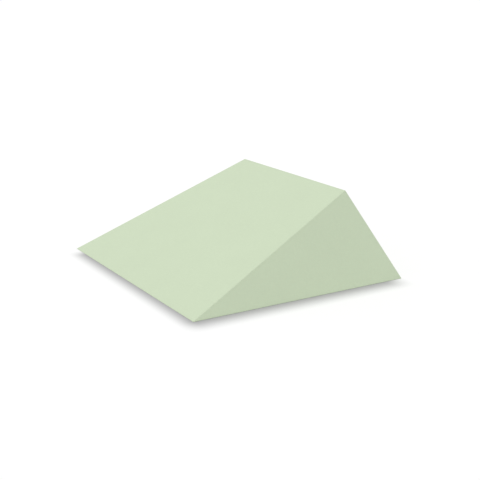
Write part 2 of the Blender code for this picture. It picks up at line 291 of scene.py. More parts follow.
class Nodes:
    """Short ways to add shader nodes to one material."""

    def __init__(self, name):
        self.material = bpy.data.materials.new(name)
        self.material.use_nodes = True
        self.tree = self.material.node_tree
        self.shader = self.tree.nodes["Principled BSDF"]

    def add(self, kind, **settings):
        """A new node, with its properties set."""
        node = self.tree.nodes.new(kind)
        for name, value in settings.items():
            setattr(node, name, value)
        return node

    def plug(self, value, socket):
        """Sets a socket from a number, a colour or another node's output."""
        if isinstance(value, bpy.types.NodeSocket):
            self.tree.links.new(value, socket)
        else:
            socket.default_value = value

    def math(self, operation, a, b=0.0, c=0.0):
        """One maths step."""
        node = self.add("ShaderNodeMath", operation=operation)
        for value, socket in zip((a, b, c), node.inputs):
            self.plug(value, socket)
        return node.outputs[0]

    def multiply(self, first, *others):
        """The product of several values."""
        for other in others:
            first = self.math("MULTIPLY", first, other)
        return first

    def position(self):
        """The place on the surface, in metres."""
        return self.add("ShaderNodeNewGeometry").outputs["Position"]

    def attribute(self, name, output="Vector"):
        """A value stored on the mesh."""
        return self.add("ShaderNodeAttribute", attribute_name=name).outputs[output]

    def split(self, vector):
        """A vector's three parts."""
        node = self.add("ShaderNodeSeparateXYZ")
        self.plug(vector, node.inputs[0])
        return node.outputs

    def texture(self, kind, place, output="Fac", **inputs):
        """A texture's value at a place."""
        node = self.add("ShaderNodeTex" + kind)
        self.plug(place, node.inputs["Vector"])
        for name, value in inputs.items():
            node.inputs[name].default_value = value
        return node.outputs[output]

    def noise(self, place, scale, detail=3.0, roughness=0.5):
        """Noise, from 0 to 1."""
        return self.texture("Noise", place, Scale=scale, Detail=detail, Roughness=roughness)

    def range(self, value, low, high, to_low=0.0, to_high=1.0, smooth=False):
        """Maps a value from one range to another."""
        node = self.add("ShaderNodeMapRange")
        node.interpolation_type = "SMOOTHSTEP" if smooth else "LINEAR"
        names = ("Value", "From Min", "From Max", "To Min", "To Max")
        for name, given in zip(names, (value, low, high, to_low, to_high)):
            self.plug(given, node.inputs[name])
        return node.outputs[0]

    def vary(self, value, amount):
        """A tone round 1 that follows a noise, lighter and darker by an amount."""
        return self.range(value, *NOISE_SPAN, 1.0 - amount, 1.0 + amount)

    def toned(self, colour, *tones):
        """A colour made lighter and darker by tones round 1."""
        node = self.add("ShaderNodeVectorMath", operation="SCALE")
        node.inputs[0].default_value = colour
        self.plug(self.multiply(*tones), node.inputs["Scale"])
        return node.outputs[0]

    def mix(self, share, first, second):
        """A mix of two colours."""
        node = self.add("ShaderNodeMix", data_type="RGBA")
        self.plug(share, node.inputs[0])
        self.plug((*first, 1.0), node.inputs[6])
        self.plug((*second, 1.0), node.inputs[7])
        return node.outputs[2]

    def bump(self, height, depth):
        """A surface normal from a height of 0 to 1, which stands for depth in metres."""
        node = self.add("ShaderNodeBump")
        self.plug(height, node.inputs["Height"])
        node.inputs["Distance"].default_value = depth
        self.plug(node.outputs[0], self.shader.inputs["Normal"])

    def finish(self, colour, roughness, **constants):
        """Plugs the colour and roughness, sets the shader's own sockets, and gives the material."""
        self.plug(colour, self.shader.inputs["Base Color"])
        self.plug(roughness, self.shader.inputs["Roughness"])
        for name, value in constants.items():
            self.shader.inputs[name.replace("_", " ")].default_value = value
        return self.material


def contact_shade(nodes, place, depth, past_low, past_high, soft_low, soft_high):
    """A soft-edged rectangle of shade that reaches past each side of the wedge's base."""
    shade = depth
    for axis in (0, 1):
        low = CAD_LOW[axis] - past_low[axis]
        high = CAD_HIGH[axis] + past_high[axis]
        soft = soft_low[axis]
        rise = nodes.range(place[axis], low - soft, low + soft, smooth=True)
        soft = soft_high[axis]
        fall = nodes.range(place[axis], high - soft, high + soft, 1.0, 0.0, smooth=True)
        shade = nodes.multiply(shade, rise, fall)
    return shade


def make_floor():
    """A plain white floor, with the soft contact shade that the wedge stands in."""
    half = FLOOR_SIZE / 2
    corners = ((-half, -half), (half, -half), (half, half), (-half, half))
    mesh = mesh_of("floor", [(x, y, CAD_LOW.z - FLOOR_DROP) for x, y in corners], [(0, 1, 2, 3)])
    nodes = Nodes("floor")
    place = nodes.split(nodes.position())
    front = contact_shade(nodes, place, **FRONT_SHADE)
    back = contact_shade(nodes, place, **BACK_SHADE)
    seen = nodes.add("ShaderNodeLightPath").outputs["Is Camera Ray"]
    shade = nodes.multiply(nodes.math("MAXIMUM", front, back), seen)
    colour = nodes.mix(shade, (FLOOR_WHITE,) * 3, (0.0,) * 3)
    mesh.materials.append(nodes.finish(colour, 1.0, Specular_IOR_Level=0.0))
    floor = placed("floor", mesh)


# -------- materials


def thread_pattern(nodes, place, pitch):
    """A plain weave's height, 0 to 1: each thread bows over one thread and dives under the next."""
    waves = [nodes.math("SINE", nodes.multiply(place[axis], pi / pitch)) for axis in (0, 1)]
    threads = []
    for own, crossing, sign in ((*waves, 0.5), (*waves[::-1], -0.5)):
        round_back = nodes.math("ABSOLUTE", own)
        over = nodes.multiply(nodes.math("SIGN", own), crossing)
        threads.append(nodes.multiply(round_back, nodes.math("MULTIPLY_ADD", over, sign, 0.5)))
    return nodes.math("MAXIMUM", *threads)


def thread_slubs(nodes, cloth, pitch):
    """Thick and thin stretches of thread along both directions, 0 to 1."""
    slubs = []
    for stretch in ((1.0, 0.09, 1.0), (0.09, 1.0, 1.0)):
        scaled = nodes.add("ShaderNodeVectorMath", operation="MULTIPLY")
        nodes.plug(cloth, scaled.inputs[0])
        scaled.inputs[1].default_value = stretch
        slubs.append(nodes.noise(scaled.outputs[0], 1.0 / (3.2 * pitch), detail=2.0))
    return nodes.multiply(nodes.math("ADD", *slubs), 0.5)


def woven(name, colour, pitch=THREAD_PITCH, depth=0.00012, sheen=0.12, contrast=1.0):
    """Tight plain-woven cloth: threads, slubs along both directions, slight tone changes, and painted
    shade in the dips between threads and in the seam grooves.
    """
    nodes = Nodes(name)
    cloth = nodes.attribute("cloth")
    threads = thread_pattern(nodes, nodes.split(cloth), pitch)
    slub = thread_slubs(nodes, cloth, pitch)
    mottle = nodes.noise(cloth, 160.0, detail=4.0, roughness=0.6)
    cloud = nodes.noise(cloth, 9.0, detail=2.0)
    tinted = nodes.toned(
        colour,
        nodes.vary(slub, 0.015 * contrast),
        nodes.vary(mottle, 0.012 * contrast),
        nodes.vary(cloud, 0.008),
        # Painted shade: up to 4.5% darker where a thread dips under its neighbour
        nodes.range(threads, 0.0, 1.0, 0.955, 1.010),
        # Painted shade: the cloth darkens by up to 3% towards each seam groove
        nodes.range(nodes.attribute("seam", "Fac"), 0.0, 1.0, 1.0, 0.970),
    )
    height = nodes.math("ADD", nodes.multiply(threads, 0.7), nodes.multiply(slub, 0.5))
    nodes.bump(height, depth)
    rough = nodes.range(threads, 0.0, 1.0, 0.98, 0.86)
    return nodes.finish(tinted, rough, Sheen_Weight=sheen, Sheen_Roughness=0.5, Specular_IOR_Level=0.25)


def foam(name, colour, cell):
    """Cut open-cell foam: fine pits, with painted shade inside them."""
    nodes = Nodes(name)
    place = nodes.position()
    pits = nodes.range(nodes.texture("Voronoi", place, "Distance", Scale=1.0 / cell), 0.1, 0.6, 1.0, 0.0)
    cloud = nodes.noise(place, 60.0, detail=4.0)
    # Painted shade: up to 20% darker towards the bottom of each pit
    tinted = nodes.toned(colour, nodes.range(pits, 0.0, 1.0, 1.02, 0.80), nodes.vary(cloud, 0.04))
    nodes.bump(nodes.math("SUBTRACT", 1.0, pits), cell * 0.3)
    return nodes.finish(tinted, 0.95, Specular_IOR_Level=0.2)


def darker(colour, share):
    """A colour at a share of its brightness."""
    return tuple(share * part for part in colour)


def metal(name, colour):
    """Nickel-plated zinc: satin, with fine tumbling marks and duller patches."""
    nodes = Nodes(name)
    place = nodes.position()
    marks = nodes.noise(place, 900.0, detail=5.0, roughness=0.65)
    patches = nodes.noise(place, 220.0)
    rough = nodes.range(patches, *NOISE_SPAN, 0.26, 0.42)
    tint = nodes.mix(nodes.range(marks, *NOISE_SPAN), colour, darker(colour, 0.86))
    nodes.bump(marks, 0.00002)
    return nodes.finish(tint, rough, Metallic=1.0)


def plastic(name, colour, roughness):
    """Drawn nylon or printed rubber: slightly uneven colour and gloss."""
    nodes = Nodes(name)
    grain = nodes.noise(nodes.position(), 700.0)
    tint = nodes.mix(nodes.range(grain, *NOISE_SPAN), colour, darker(colour, 0.92))
    nodes.bump(grain, 0.00003)
    return nodes.finish(tint, nodes.range(grain, *NOISE_SPAN, roughness - 0.05, roughness + 0.05))


def thread(name, colour):
    """Spun sewing thread: a slanting twist along each stitch, with painted shade in the twist's grooves.
    """
    nodes = Nodes(name)
    twist = nodes.texture("Wave", nodes.position(), Scale=900.0, Distortion=1.5)
    twist.node.bands_direction = "DIAGONAL"
    # Painted shade: 15% darker in the grooves of the twist, where the bump sits lowest
    tint = nodes.mix(twist, darker(colour, 0.85), colour)
    nodes.bump(twist, 0.00005)
    return nodes.finish(tint, 0.75, Sheen_Weight=0.1)


# -------- mesh tools


def add_piece(name, mesh, material, body, replaced=()):
    """Adds a finished piece, riding on a CAD body."""
    mesh.materials.clear()
    mesh.materials.append(material)
    piece = placed(name, mesh)
    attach(piece, body)
    if replaced:
        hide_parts(*replaced)
    return piece


def mesh_of(name, points, faces):
    """A mesh from points and faces, smooth apart from its sharp edges."""
    mesh = bpy.data.meshes.new(name)
    mesh.from_pydata([tuple(p) for p in points], [], [tuple(f) for f in faces])
    mesh.shade_smooth()
    mesh.set_sharp_from_angle(angle=radians(SHARP_ANGLE))
    mesh.validate()
    return mesh


def add_shape(name, points, faces, material, slot, replaced=()):
    """Adds a piece of the wedge itself, from its points and faces."""
    add_piece(name, mesh_of(name, points, faces), material, "wedge", replaced)


def mesh_from(shape, name):
    """A mesh from a bmesh, which is used up, with its faces turned outwards."""
    bmesh.ops.recalc_face_normals(shape, faces=shape.faces)
    mesh = bpy.data.meshes.new(name)
    shape.to_mesh(mesh)
    shape.free()
    return mesh


def cleaned(mesh):
    """The mesh with doubled points merged and its faces turned outwards."""
    shape = bmesh.new()
    shape.from_mesh(mesh)
    bmesh.ops.remove_doubles(shape, verts=shape.verts, dist=WELD)
    return mesh_from(shape, mesh.name)


def store(mesh, name, values):
    """Stores a number or a vector for each point of a mesh."""
    values = np.asarray(values, np.float32)
    kind, key = ("FLOAT", "value") if values.ndim == 1 else ("FLOAT_VECTOR", "vector")
    mesh.attributes.new(name, kind, "POINT").data.foreach_set(key, values.ravel())


def node_points(node):
    """The distinct corners of a CAD node."""
    points = np.array([v.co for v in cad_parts[node].data.vertices], float)
    return np.unique(np.round(points, 6), axis=0)


def unit(vector):
    """The vector at length 1."""
    return vector / np.linalg.norm(vector)


class Panel:
    """A flat CAD panel: its outer and inner corners in matching order, and its own directions."""

    def __init__(self, node):
        points = node_points(node)
        middle = points.mean(0)
        spread = np.linalg.svd(points - middle)[2]
        wedge_inside = np.array([0.0, 0.0, CAD_HIGH.z / 4])
        out = spread[2] * np.sign(spread[2] @ (middle - wedge_inside) or 1.0)
        height = points @ out
        halfway = (height.max() + height.min()) / 2
        outer = points[height > halfway]
        inner = points[height <= halfway]
        upright = (0.0, 1.0, 0.0) if abs(out[2]) > 0.99 else (0.0, 0.0, 1.0)
        first = unit(np.cross(upright, out))
        second = np.cross(out, first)
        spokes = outer - outer.mean(0)
        outer = outer[np.argsort(np.arctan2(spokes @ second, spokes @ first))]
        inner = np.array([inner[np.argmin(np.linalg.norm(inner - p, axis=1))] for p in outer])
        self.out, self.first, self.second = out, first, second
        self.outer = self.widened(outer, inner - outer)
        self.inner = self.widened(inner, inner - outer)
        self.origin = outer.mean(0)

    def widened(self, corners, inwards):
        """The corners once each rim has moved towards the next panel, which nearly closes the seam."""
        following = np.roll(corners, -1, axis=0)
        rims = [unit(np.cross(b - a, back)) for a, b, back in zip(corners, following, inwards)]
        middle = corners.mean(0)
        rims = [rim * np.sign(rim @ (corner - middle)) for rim, corner in zip(rims, corners)]
        moved = []
        for i, corner in enumerate(corners):
            planes = np.array([self.out, rims[i - 1], rims[i]])
            moved.append(np.linalg.solve(planes, planes @ corner + (0.0, SEAM_CLOSE, SEAM_CLOSE)))
        return np.array(moved)

    def sides(self):
        """Each side's corner, direction, inward direction, length, and its rim's lean per depth."""
        found = []
        for i, corner in enumerate(self.outer):
            step = self.outer[(i + 1) % len(self.outer)] - corner
            along = unit(step)
            inward = np.cross(self.out, along)
            back = self.inner[i] - corner
            lean = back @ inward / -(back @ self.out)
            found.append((corner, along, inward, np.linalg.norm(step), lean))
        return found

    def away(self, points):
        """How far in from each side the points are."""
        found = [(points - corner) @ inward for corner, _, inward, _, _ in self.sides()]
        return np.maximum(found, 0.0)

    def area(self):
        """The area of the outer face."""
        spokes = self.outer - self.origin
        following = np.roll(spokes, -1, axis=0)
        return sum(np.linalg.norm(np.cross(spoke, other)) / 2 for spoke, other in zip(spokes, following))

    def flat(self):
        """The size of the rectangle that the panel is cut from."""
        return tuple(max(SMALLEST_CUT, np.ptp(self.outer @ way)) for way in (self.first, self.second))

    def on_panel(self, points):
        """Places on the panel, in metres along its two directions."""
        spokes = points - self.origin
        return np.stack([spokes @ self.first, spokes @ self.second, np.zeros(len(points))], 1)

    def lattice(self):
        """The outer points, inner points and faces of a lattice over the panel."""
        lengths = [side[3] for side in self.sides()]
        if len(lengths) == 4:
            weights, faces = quad_lattice(max(lengths[0], lengths[2]), max(lengths[1], lengths[3]))
        else:
            weights, faces = triangle_lattice(max(lengths))
        return weights @ self.outer, weights @ self.inner, faces


def spaced(length):
    """Places from 0 to 1 along a side: even cells, with narrow ones at each seam."""
    cells = max(2, round(length / CELL))
    if length < 4 * CELL:
        return np.linspace(0, 1, cells + 1)
    edge = np.array([0.0, *SEAM_STEPS]) / length
    inside = np.linspace(2 * edge[-1], 1 - 2 * edge[-1], cells)
    return np.concatenate([edge, inside, 1 - edge[::-1]])


def quad_lattice(width, height):
    """Corner weights and faces of a grid over a four-sided panel."""
    s, t = np.meshgrid(spaced(width), spaced(height))
    weights = np.stack([(1 - s) * (1 - t), s * (1 - t), s * t, (1 - s) * t], -1).reshape(-1, 4)
    rows, columns = s.shape
    faces = []
    for row in range(rows - 1):
        for column in range(columns - 1):
            low = row * columns + column
            faces.append((low, low + 1, low + columns + 1, low + columns))
    return weights, faces


def triangle_lattice(length):
    """Corner weights and faces of a lattice over a three-sided panel."""
    places = spaced(length)
    steps = len(places) - 1
    index = {}
    weights = []
    for i in range(steps + 1):
        for j in range(steps + 1 - i):
            index[i, j] = len(weights)
            share = np.array([places[steps - i - j], places[i], places[j]])
            weights.append(share / share.sum())
    faces = []
    for i in range(steps):
        for j in range(steps - i):
            faces.append((index[i, j], index[i + 1, j], index[i, j + 1]))
            if j < steps - i - 1:
                faces.append((index[i + 1, j], index[i + 1, j + 1], index[i, j + 1]))
    return np.array(weights), faces


def rim_of(faces):
    """The edges that only one face uses, in that face's direction."""
    edges = dict.fromkeys(edge for face in faces for edge in zip(face, (*face[1:], face[0])))
    return [(a, b) for a, b in edges if (b, a) not in edges]


def closed_sheet(name, outer, inner, faces):
    """A closed cloth sheet between an outer and an inner surface."""
    count = len(outer)
    every = [*faces]
    every += [tuple(count + i for i in reversed(face)) for face in faces]
    every += [(b, a, count + a, count + b) for a, b in rim_of(faces)]
    return mesh_of(name, np.concatenate([outer, inner]), every)


def relief(panel, points, crown, pucker, zip_side, seed):
    """How far each point stands out: a taut crown, and puckers along the seams."""
    away = panel.away(points)
    full = np.prod(1 - np.exp(-((away / CROWN_REACH) ** CROWN_POWER)), axis=0)
    rise = np.minimum(away / PUCKER_START, 1.0) * np.exp(-away / PUCKER_REACH)
    waves = np.zeros(len(points))
    for number, (corner, along, _, _, _) in enumerate(panel.sides()):
        depth = ZIP_PUCKER if number == zip_side else pucker
        ripple = uneven_ripple((points - corner) @ along, seed + SEAM_SHIFT * number)
        waves += depth * rise[number] * ripple
    return (crown * full + waves)[:, None] * panel.out


def seam_roll(panel, points, zip_side):
    """How the outer face rolls inwards at each seam, on the panel's own side of the seam."""
    near = np.exp(-((panel.away(points) / SEAM_EASE) ** 2))
    depth = np.zeros(len(points))
    shift = np.zeros((len(points), 3))
    for number, (_, _, inward, _, lean) in enumerate(panel.sides()):
        drop = FOLD_DROP if number == zip_side else SEAM_DROP
        share = drop * min(1.0, 1.0 / max(lean, LEAST_LEAN)) * near[number]
        depth = np.maximum(depth, share)
        shift += lean * share[:, None] * inward
    return shift - depth[:, None] * panel.out


def uneven_ripple(place, shift):
    """A ripple along a seam, from -1 to 1."""
    return sum(share * np.sin(place * 2 * pi / wave + turn * shift) for share, wave, turn in RIPPLES)


def clear_of_seams(panel, points):
    """0 at a seam, rising to 1 in the middle of the panel."""
    return np.prod(1 - np.exp(-((panel.away(points) / LIFT_REACH) ** 2)), axis=0)


def seam_shade_share(panel, points):
    """The share of painted shade near a seam groove: 1 at a seam, falling to 0 a few millimetres away.
    """
    return np.exp(-panel.away(points).min(0) / SEAM_SHADE_REACH)


def make_panel(node, material, seed, crown=CROWN, pucker=PUCKER, zip_side=None, lift=0.0):
    """The cloth of one cover panel, in the place of its CAD solid."""
    panel = Panel(node)
    outer, inner, faces = panel.lattice()
    rise = relief(panel, outer, crown, pucker, zip_side, seed)
    # How much painted seam-groove shade each point gets, kept on the mesh as its seam value
    seam = seam_shade_share(panel, outer)
    place = panel.on_panel(outer)
    lifted = (lift * clear_of_seams(panel, outer))[:, None] * panel.out
    rolled = outer + rise + seam_roll(panel, outer, zip_side) - lifted
    mesh = closed_sheet(node + "_cloth", rolled, inner + rise, faces)
    store(mesh, "cloth", np.concatenate([place, place]))
    store(mesh, "seam", np.concatenate([seam, seam]))
    piece = add_piece(node + "_cloth", mesh, material, "wedge", [node])


def directions(path):
    """The unit direction of a path at each of its points."""
    ahead = np.gradient(path, axis=0)
    return ahead / np.linalg.norm(ahead, axis=1)[:, None]


def ring_faces(rings, sides):
    """The faces between rings of points, with both ends closed."""
    faces = []
    for ring in range(rings - 1):
        for k in range(sides):
            a = ring * sides + k
            b = ring * sides + (k + 1) % sides
            faces.append((a, b, b + sides, a + sides))
    last = (rings - 1) * sides
    faces.append(tuple(reversed(range(sides))))
    faces.append(tuple(range(last, last + sides)))
    return faces


def tube_parts(path, radius, sides):
    """Points and faces of a round tube along a path."""
    ahead = directions(path)
    side = np.cross(ahead[0], (0.0, 0.0, 1.0))
    points = []
    for place, direction in zip(path, ahead):
        side = unit(side - (side @ direction) * direction)
        other = np.cross(direction, side)
        for k in range(sides):
            angle = 2 * pi * k / sides
            points.append(place + radius * (cos(angle) * side + sin(angle) * other))
    return np.array(points), ring_faces(len(path), sides)


def joined(parts):
    """Several point-and-face sets as one."""
    points, faces, start = [], [], 0
    for some_points, some_faces in parts:
        points.append(some_points)
        faces += [tuple(start + i for i in face) for face in some_faces]
        start += len(some_points)
    return np.concatenate(points), faces


# -------- zip


class ZipPlace:
    """The zip's frame, read from its CAD nodes: x along the chain, y up the back, z outwards."""

    def __init__(self):
        back = Panel("back_panel_upper")
        self.out = back.out
        self.along = np.array([-1.0, 0.0, 0.0])
        self.up = np.cross(self.out, self.along)
        self.axes = np.stack([self.along, self.up, self.out])
        upper = node_points("zip_coil_upper")
        lower = node_points("zip_coil_lower")
        middle = (upper.mean(0) + lower.mean(0)) / 2
        self.centre = middle + self.out * (back.origin @ self.out - middle @ self.out)
        ends = (np.concatenate([upper, lower]) - self.centre) @ self.along
        self.chain_low, self.chain_high = ends.min(), ends.max()
        tall = (upper - self.centre) @ self.out
        self.coil_low, self.coil_high = tall.min(), tall.max()
        self.coil_outer = ((upper - self.centre) @ self.up).max()
        self.slot_half = ((back.outer - self.centre) @ self.up).min()

    def local(self, points):
        """World points, measured in the zip's frame."""
        return (points - self.centre) @ self.axes.T

    def matrix(self, x=0.0, z=0.0):
        """The zip's frame as a matrix, moved along the chain and out of the cover."""
        origin = self.centre + x * self.along + z * self.out
        return Matrix.Translation(origin) @ Matrix(self.axes.T).to_4x4()

    def world(self, points):
        """Points in the zip's frame, in the world."""
        return self.centre + np.asarray(points) @ self.axes


def make_coils(place, nylon, cord_cloth):
    """The two nylon coils, which mesh half a turn apart, each round a woven cord."""
    wire = COIL_WIRE / 2
    centre_y = (COIL_INNER + place.coil_outer - wire) / 2
    reach_y = (place.coil_outer - wire - COIL_INNER) / 2
    centre_z = (place.coil_low + place.coil_high) / 2
    reach_z = (place.coil_high - place.coil_low) / 2 - wire
    for half, side in (("upper", 1), ("lower", -1)):
        start = place.chain_low + wire + (COIL_PITCH / 2 if side < 0 else 0.0)
        turns = int((place.chain_high - wire - start) / COIL_PITCH)
        step = np.arange(turns * COIL_POINTS + 1)
        angle = 2 * pi * step / COIL_POINTS
        x = start + COIL_PITCH * step / COIL_POINTS
        y = side * (centre_y + reach_y * np.cos(angle))
        z = centre_z + reach_z * np.sin(angle)
        coil = tube_parts(place.world(np.stack([x, y, z], 1)), wire, COIL_SIDES)
        add_shape(f"coil_{half}", *coil, nylon, "coil_nylon", [f"zip_coil_{half}"])
        y = side * centre_y * CORD_OUTWARD
        ends = [(place.chain_low + wire, y, centre_z), (place.chain_high - wire, y, centre_z)]
        core = np.linspace(*place.world(ends), CORD_POINTS)
        cord = tube_parts(core, CORD_RADIUS, CORD_SIDES)
        add_shape(f"coil_cord_{half}", *cord, cord_cloth, "zip_tape_cloth")


def make_tapes(place, material):
    """The woven tapes behind the slot, with a fine rib along their length."""
    for half in ("upper", "lower"):
        node = f"zip_tape_{half}"
        panel = Panel(node)
        outer, inner, faces = panel.lattice()
        across = (outer - place.centre) @ place.up
        rib = (RIB_HEIGHT * np.sin(across * 2 * pi / RIB_PITCH))[:, None] * panel.out
        mesh = closed_sheet(f"tape_{half}", outer + rib - RIB_HEIGHT * panel.out, inner, faces)
        spot = panel.on_panel(outer)
        store(mesh, "cloth", np.concatenate([spot, spot]))
        tape = add_piece(f"tape_{half}", mesh, material, "wedge", [node])


def stitch(start, end, out, radius=STITCH_RADIUS):
    """One stitch: a thread that comes up, lies on the cloth and goes down again."""
    path = [start + (end - start) * share + out * radius * height for share, height in STITCH_RISE]
    return tube_parts(path, radius, STITCH_SIDES)


def stitch_row(start, end, out, length=STITCH_LENGTH, pitch=STITCH_PITCH):
    """Stitches from one point to another, evenly spread."""
    along = unit(end - start)
    reach = np.linalg.norm(end - start)
    count = int(reach / pitch)
    spare = (reach - count * pitch + pitch - length) / 2
    made = []
    for k in range(count):
        first = start + along * (spare + k * pitch)
        made.append(stitch(first, first + along * length, out))
    return made


def make_zip_stitching(place, material):
    """The topstitching along both folded edges of the slot, and a bar tack at each end of the chain."""
    row_y = place.slot_half + STITCH_FROM_EDGE
    reach = place.chain_high + STITCH_PAST_CHAIN
    for half, side in (("upper", 1), ("lower", -1)):
        start, end = place.world([(-reach, side * row_y, 0.0), (reach, side * row_y, 0.0)])
        stitches = joined(stitch_row(start, end, place.out))
        add_shape(f"topstitch_{half}", *stitches, material, "cover_cloth")
    for name, side in (("left", 1), ("right", -1)):
        x = side * (place.chain_high + TACK_PAST_CHAIN)
        made = []
        for k in range(TACK_STITCHES):
            y = -row_y + 2 * row_y * k / (TACK_STITCHES - 1)
            lean = TACK_LEAN if k % 2 else -TACK_LEAN
            start, end = place.world([(x - TACK_HALF, y - lean, 0.0), (x + TACK_HALF, y + lean, 0.0)])
            made.append(stitch(start, end, place.out, TACK_RADIUS))
        add_shape(f"bar_tack_{name}", *joined(made), material, "cover_cloth")


def finished_mesh(thing):
    """An object's mesh after its modifiers, with the object taken away."""
    bpy.context.view_layer.update()
    view = bpy.context.evaluated_depsgraph_get()
    mesh = bpy.data.meshes.new_from_object(thing.evaluated_get(view))
    bpy.data.objects.remove(thing)
    return mesh


def curve_plate(outlines, half_thick, rounding):
    """A flat plate with rounded edges, from an outline and any holes in it."""
    curve = bpy.data.curves.new("plate", "CURVE")
    curve.dimensions = "2D"
    curve.fill_mode = "BOTH"
    curve.extrude = half_thick - rounding
    curve.bevel_depth = rounding
    curve.bevel_resolution = 3
    curve.offset = -rounding
    for outline in outlines:
        spline = curve.splines.new("POLY")
        spline.points.add(len(outline) - 1)
        for point, (x, y) in zip(spline.points, outline):
            point.co = (x, y, 0.0, 1.0)
        spline.use_cyclic_u = True
    return cleaned(finished_mesh(placed("plate", curve)))


def combined(first, others, operation):
    """A mesh joined with others, or cut by them."""
    work = placed("work", first)
    tools = [placed("tool", mesh) for mesh in others]
    for tool in tools:
        step = work.modifiers.new(operation, "BOOLEAN")
        step.operation = operation
        step.solver = "EXACT"
        step.object = tool
    mesh = finished_mesh(work)
    for tool in tools:
        bpy.data.objects.remove(tool)
    mesh.shade_smooth()
    mesh.set_sharp_from_angle(angle=radians(CAST_SHARP_ANGLE))
    return mesh


def arc(x, y, radius, start, end, steps=6):
    """Points along an arc, with angles in degrees."""
    angles = np.radians(np.linspace(start, end, steps + 1))
    return [(x + radius * cos(angle), y + radius * sin(angle)) for angle in angles]


def rounded_box(low_x, high_x, low_half, high_half, radius):
    """A four-sided outline that may taper, with round corners."""
    return (
        arc(high_x - radius, high_half - radius, radius, 0, 90)
        + arc(low_x + radius, low_half - radius, radius, 90, 180)
        + arc(low_x + radius, -low_half + radius, radius, 180, 270)
        + arc(high_x - radius, -high_half + radius, radius, 270, 360)
    )


def shifted(mesh, z, y=0.0):
    """The mesh, moved."""
    mesh.transform(Matrix.Translation((0.0, y, z)))
    return mesh


def slider_outline(nose, nose_half, tail_half):
    """The slider's plates from above: a wide round nose, and sides that narrow to the tail."""
    reach = nose_half / 2
    points = []
    for step in range(NOSE_STEPS + 1):
        angle = -pi / 2 + pi * step / NOSE_STEPS
        points.append((nose - reach + reach * cos(angle), nose_half * sin(angle)))
    corner = SLIDER_CORNER
    points += arc(-nose + corner, tail_half - corner, corner, 90, 180, 4)
    points += arc(-nose + corner, -tail_half + corner, corner, 180, 270, 4)
    return points


def slider_bridge(foot, crest):
    """The bridge that holds the pull tab: a soft flat bar, up from the plate, along and down."""
    half = (BRIDGE_LENGTH - BRIDGE_THICK) / 2
    bend = BRIDGE_BEND
    side_view = [(-half, foot)]
    side_view += arc(-half + bend, crest - bend, bend, 180, 90, 5)
    side_view += arc(half - bend, crest - bend, bend, 90, 0, 5)
    side_view += [(half, foot)]
    path = np.array([(x, 0.0, z) for x, z in side_view])
    points = []
    for place, direction in zip(path, directions(path)):
        across = np.array([-direction[2], 0.0, direction[0]])
        for k in range(BRIDGE_SIDES):
            angle = 2 * pi * (k + 0.5) / BRIDGE_SIDES
            wide = np.sign(cos(angle)) * abs(cos(angle)) ** BRIDGE_SQUARENESS * BRIDGE_HALF_WIDTH
            tall = np.sign(sin(angle)) * abs(sin(angle)) ** BRIDGE_SQUARENESS * BRIDGE_THICK / 2
            points.append(place + (0.0, wide, 0.0) + tall * across)
    return cleaned(mesh_of("bridge", points, ring_faces(len(path), BRIDGE_SIDES)))


def make_slider(place, nickel):
    """The cast slider: two plates, side skirts, a divider at the nose, a pad and a bridge."""
    points = place.local(node_points("zip_slider"))
    low, high = points.min(0), points.max(0)
    nose = (high[0] - low[0]) / 2
    tail_half = points[points[:, 0] < low[0] + NEAR][:, 1].max()
    size = np.array([nose, high[1], tail_half])
    half = SLIDER_PLATE / 2
    top = high[2] - BRIDGE_RISE - half
    bottom = low[2] + half
    outline = slider_outline(*size)
    body = shifted(curve_plate([outline], half, CAST_ROUND), top)
    lower_plate = curve_plate([outline], half, CAST_ROUND)
    divider_outline = rounded_box(*(nose * DIVIDER_SPAN), *DIVIDER_HALVES, DIVIDER_CORNER)
    divider = curve_plate([divider_outline], (top - bottom) / 2, TRIM_ROUND)
    pad = curve_plate([slider_outline(*(size * PAD_SHARE))], PAD_HALF, PAD_ROUND)
    others = [shifted(lower_plate, bottom), shifted(divider, (top + bottom) / 2)]
    others.append(shifted(pad, top + half))
    skirt_outline = rounded_box(*(nose * SKIRT_SPAN), SKIRT_HALF, SKIRT_HALF, SKIRT_CORNER)
    for side in (1, -1):
        skirt = curve_plate([skirt_outline], SKIRT_DROP / 2, TRIM_ROUND)
        others.append(shifted(skirt, top - SKIRT_DROP / 2, side * (tail_half - SKIRT_INSET)))
    others.append(slider_bridge(top, high[2] - BRIDGE_THICK / 2))
    mesh = combined(body, others, "UNION")
    mesh.transform(place.matrix((low[0] + high[0]) / 2))
    add_piece("slider_casting", mesh, nickel, "slider", ["zip_slider"])


def make_pull(place, nickel):
    """The pull tab: a bar at its eye, a waist, and a round tail with a blank recess on both sides."""
    points = place.local(node_points("zip_pull_tab"))
    low, high = points.min(0), points.max(0)
    half = (high[2] - low[2]) / 2
    pivot = high[0] - half
    reach = pivot - low[0]
    tail = high[1]
    head = PULL_HEAD_HALF
    corner = PULL_CORNER
    waist = (-PULL_NECK - PULL_WAIST, head + PULL_FLARE)
    outline = arc(half - corner, head - corner, corner, 0, 90, 4)
    outline += [(-PULL_NECK, head), waist]
    outline += arc(-reach + tail, 0.0, tail, 90, 270, PULL_TAIL_STEPS)
    outline += [(waist[0], -waist[1]), (-PULL_NECK, -head)]
    outline += arc(half - corner, -head + corner, corner, 270, 360, 4)
    eye = rounded_box(-PULL_EYE, -half, PULL_EYE_HALF, PULL_EYE_HALF, corner)
    body = curve_plate([outline, eye], half, PULL_ROUND)
    span = np.array([-reach, -PULL_NECK, tail, head]) + RECESS_INSET
    recess = rounded_box(*span, RECESS_CORNER)
    cutters = []
    for side in (1, -1):
        cutter = curve_plate([recess], RECESS_HALF, TRIM_ROUND)
        cutters.append(shifted(cutter, side * (half + RECESS_HALF - RECESS_DEPTH)))
    mesh = combined(body, cutters, "DIFFERENCE")
    mesh.transform(place.matrix(pivot, (low[2] + high[2]) / 2))
    add_piece("pull_casting", mesh, nickel, "pull_tab", ["zip_pull_tab"])


